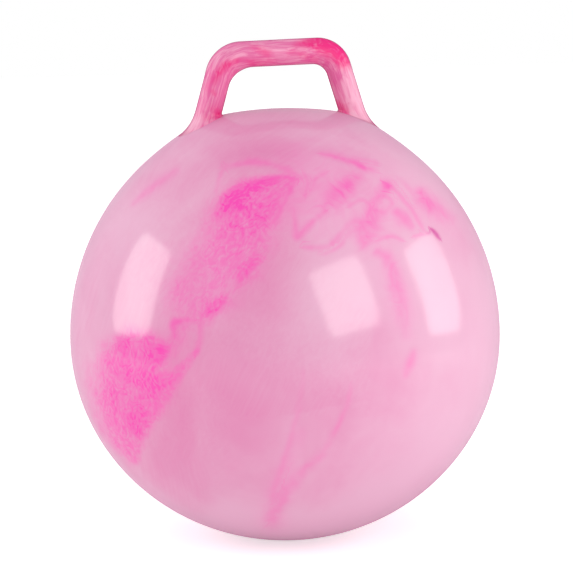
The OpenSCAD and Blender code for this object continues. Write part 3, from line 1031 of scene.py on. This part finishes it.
def makePlug():
    headLow = valve["mouthRise"] + valve["headGap"]
    rim = valve["headThickness"] / 2
    headTop = headLow + valve["headThickness"]
    tipTop = headLow - valve["stemLength"] + valve["tipLength"]
    profile = [(0, headLow - valve["stemLength"]), (valve["tipRadius"], headLow - valve["stemLength"]),
               (valve["stemRadius"], tipTop), (valve["stemRadius"], headLow)]
    profile += arc((valve["headRadius"] - rim, headLow + rim), rim, -90, 90, 12)
    for i in range(9):  # the dimple is a shallow bowl with a soft edge
        share = 1 - i / 8
        depth = valve["dimpleDepth"] * (1 - share**2) ** 1.5
        profile.append((valve["dimpleRadius"] * share, headTop - depth))
    body = newPiece("valvePlug", meshFrom("valvePlug", lathe(profile, valve["around"]), valveFrame))
    stem, depth, length = valve["stemRadius"], valve["ribDepth"], valve["ribLength"]
    ribProfile = [(stem - depth / 2, 0), (stem, 0), (stem + depth * 0.85, length * 0.8)]
    ribProfile += [(stem + depth, length * 0.9), (stem + depth * 0.9, length), (stem - depth / 2, length)]
    ribProfile.append(ribProfile[0])
    ribShape = lathe(ribProfile, valve["around"])
    bmesh.ops.remove_doubles(ribShape, verts=ribShape.verts, dist=1e-7)
    bmesh.ops.recalc_face_normals(ribShape, faces=ribShape.faces)
    rib = newPiece("plugRib", meshFrom("plugRib", ribShape, valveTurn))
    plastic = softPlastic("plugPlastic", **valve["plugFinish"])
    firstRib = valveFrame @ Vector((0, 0, headLow - valve["ribPitch"]))
    growNodes(body, makeRibTree(), Rib=rib, RibCount=valve["ribCount"], FirstRib=firstRib,
              RibStep=-valveOut * valve["ribPitch"], Plastic=plastic)
    plainMesh(body)
    bpy.data.objects.remove(rib)
    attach(body, "plug")
    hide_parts("valve_plug")


makeSleeve()
makePlug()
print("valve made")


# Stage: a white floor that keeps the shadow, an even white surround and three soft boxes

stage = {
    "floorSize": 30,
    "floorColour": (244, 243, 244),
    "floorGlow": 0.58,  # what the floor adds for the camera, so that it shows white
    "floorBounce": 0.09,  # light that the wide lit floor sends up
    "surround": 0.42,  # light from the sides
    "overhead": 1.25,  # light from straight above
    "leftShade": 0.55,  # share of the side light that comes from the left and the right
    "rightShade": 0.2,
    "leftFade": (-0.9, -0.2),  # where that shade starts and ends, from left to right
    "rightFade": (-0.1, 0.8),
    "boxDistance": 1.7,
    "boxTint": (1, 0.99, 0.93),
    "boxFall": 0.08,  # how much dimmer the cloth is at its upper end, and brighter at its lower
}
softBoxes = {  # bearing, lift and turn in degrees as the camera sees them, size in metres, brightness
    "leftBox": {"bearing": -82, "lift": 17, "turn": 4, "width": 0.84, "height": 1.04, "glow": 2.35},
    "frontBox": {"bearing": 31, "lift": 14, "turn": 10, "width": 0.86, "height": 0.98, "glow": 2.15},
    "rightBox": {"bearing": 86, "lift": 15, "turn": -2, "width": 0.82, "height": 1.02, "glow": 2.1},
}


def makeSoftBox(name, box):
    right, up, toward = eyeSides
    bearing, lift = math.radians(box["bearing"]), math.radians(box["lift"])
    level = right * math.sin(bearing) + toward * math.cos(bearing)
    direction = level * math.cos(lift) + up * math.sin(lift)
    light = bpy.data.lights.new(name, "AREA")
    light.shape = "RECTANGLE"
    light.size, light.size_y = box["width"], box["height"]
    light.color = stage["boxTint"]
    light.energy = box["glow"] * box["width"] * box["height"] * 4
    light.use_nodes = True
    tree = light.node_tree
    spot = addNode(tree, "ShaderNodeSeparateXYZ")
    feed(tree, spot.inputs[0], addNode(tree, "ShaderNodeNewGeometry").outputs["Parametric"])
    sides = []
    for share in spot.outputs[:2]:
        off = sums(tree, "ABSOLUTE", sums(tree, "MULTIPLY_ADD", share, 2, -1))
        sides.append(sums(tree, "POWER", off, 8))
    cloth = ramp(tree, sums(tree, "ADD", *sides), 1, 0.65)  # rounded corners and a soft border
    fall = ramp(tree, spot.outputs[1], 0, 1, 1 + stage["boxFall"], 1 - stage["boxFall"])
    feed(tree, tree.nodes["Emission"].inputs["Strength"], sums(tree, "MULTIPLY", cloth, fall))
    lamp = bpy.data.objects.new(name, light)
    lamp.location = ballMiddle + direction * stage["boxDistance"]
    turn = Matrix.Rotation(math.radians(box["turn"]), 4, "Z").to_quaternion()
    lamp.rotation_euler = ((-direction).to_track_quat("-Z", "Y") @ turn).to_euler()
    bpy.context.scene.collection.objects.link(lamp)


def makeFloor():
    half = stage["floorSize"] / 2
    mesh = bpy.data.meshes.new("paleFloor")
    corners = [(-half, -half, 0), (half, -half, 0), (half, half, 0), (-half, half, 0)]
    mesh.from_pydata(corners, [], [(0, 1, 2, 3)])
    floor = newPiece("paleFloor", mesh)
    material, tree, shader = newMaterial("paleFloor")
    shader.inputs["Base Color"].default_value = colour(*stage["floorColour"])
    shader.inputs["Roughness"].default_value = 1
    shader.inputs["Specular IOR Level"].default_value = 0
    shader.inputs["Emission Color"].default_value = (1, 1, 1, 1)
    glow = ramp(tree, seenDirectly(tree), 0, 1, stage["floorBounce"], stage["floorGlow"])
    feed(tree, shader.inputs["Emission Strength"], glow)
    mesh.materials.append(material)


def seenDirectly(tree):
    rays = addNode(tree, "ShaderNodeLightPath").outputs
    seen = sums(tree, "MAXIMUM", rays["Is Camera Ray"], rays["Is Glossy Ray"])
    return sums(tree, "MAXIMUM", seen, rays["Is Transmission Ray"])


def makeSurround():
    world = bpy.data.worlds.new("whiteSurround")
    world.use_nodes = True
    tree = world.node_tree
    background = tree.nodes["Background"]
    background.inputs["Color"].default_value = (1, 1, 1, 1)
    direction = addNode(tree, "ShaderNodeSeparateXYZ")
    feed(tree, direction.inputs[0], addNode(tree, "ShaderNodeTexCoord").outputs["Object"])
    level = ramp(tree, direction.outputs[2], 0.15, 1, stage["surround"], stage["overhead"])
    across = direction.outputs[0]
    level = sums(tree, "MULTIPLY", level, ramp(tree, across, *stage["leftFade"], stage["leftShade"], 1))
    level = sums(tree, "MULTIPLY", level, ramp(tree, across, *stage["rightFade"], 1, stage["rightShade"]))
    lit = addNode(tree, "ShaderNodeMapRange")
    for socket, given in zip(lit.inputs, (seenDirectly(tree), 0, 1, level, 1)):
        feed(tree, socket, given)
    feed(tree, background.inputs["Strength"], lit.outputs["Result"])
    bpy.context.scene.world = world


for boxName, boxValues in softBoxes.items():
    makeSoftBox(boxName, boxValues)
makeFloor()
makeSurround()
bpy.context.scene.view_settings.view_transform = "Standard"
print("stage lit")
